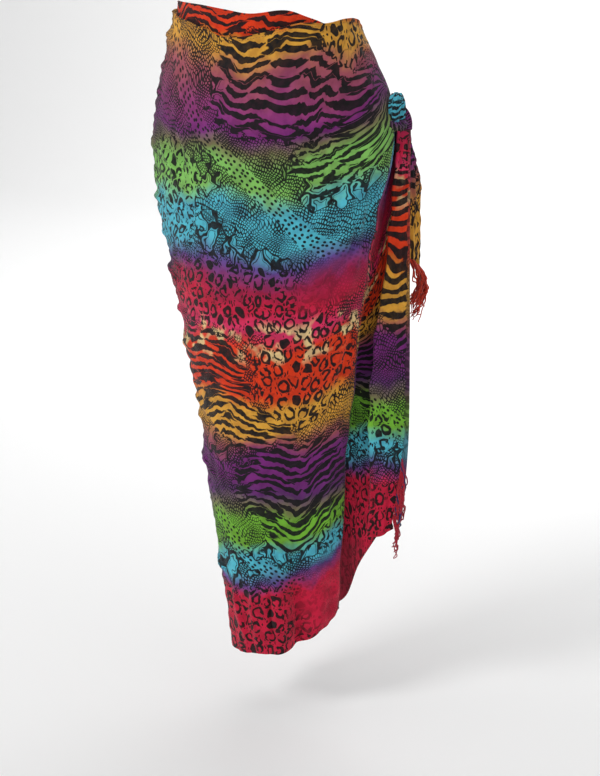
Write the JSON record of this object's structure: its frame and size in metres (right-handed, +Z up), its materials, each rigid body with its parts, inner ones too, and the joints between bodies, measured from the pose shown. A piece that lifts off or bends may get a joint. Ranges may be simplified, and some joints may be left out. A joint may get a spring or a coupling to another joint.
{
  "type": "sarong, worn as a long wrap tied at the hip",
  "caption": "Sarong of thin printed cloth, wound round the hips as a long wrap and knotted at the left hip, with a pleated fall and fringed short ends.",
  "frame": {"origin": "on the wearer's axis at waist height, where the wearer's waist and hips hold the cloth up", "axes": "+Z up; the wearer faces -Y, so the knot at the wearer's left hip is on +X"},
  "size_m": [0.4084, 0.2749, 0.9827],
  "materials": {
    "printed_cloth": "soft plain-woven rayon with a dyed and printed face",
    "crimson_fringe": "twisted yarn",
    "orange_fringe": "twisted yarn"
  },
  "bodies": {
    "root": {"front_panel": "printed_cloth", "inner_wrap": "printed_cloth", "back_wrap": "printed_cloth", "side_fall": "printed_cloth", "knot": "printed_cloth", "knot_tail": "printed_cloth", "fringe_fall": "crimson_fringe", "fringe_tail": "orange_fringe"}
  },
  "joints": []
}
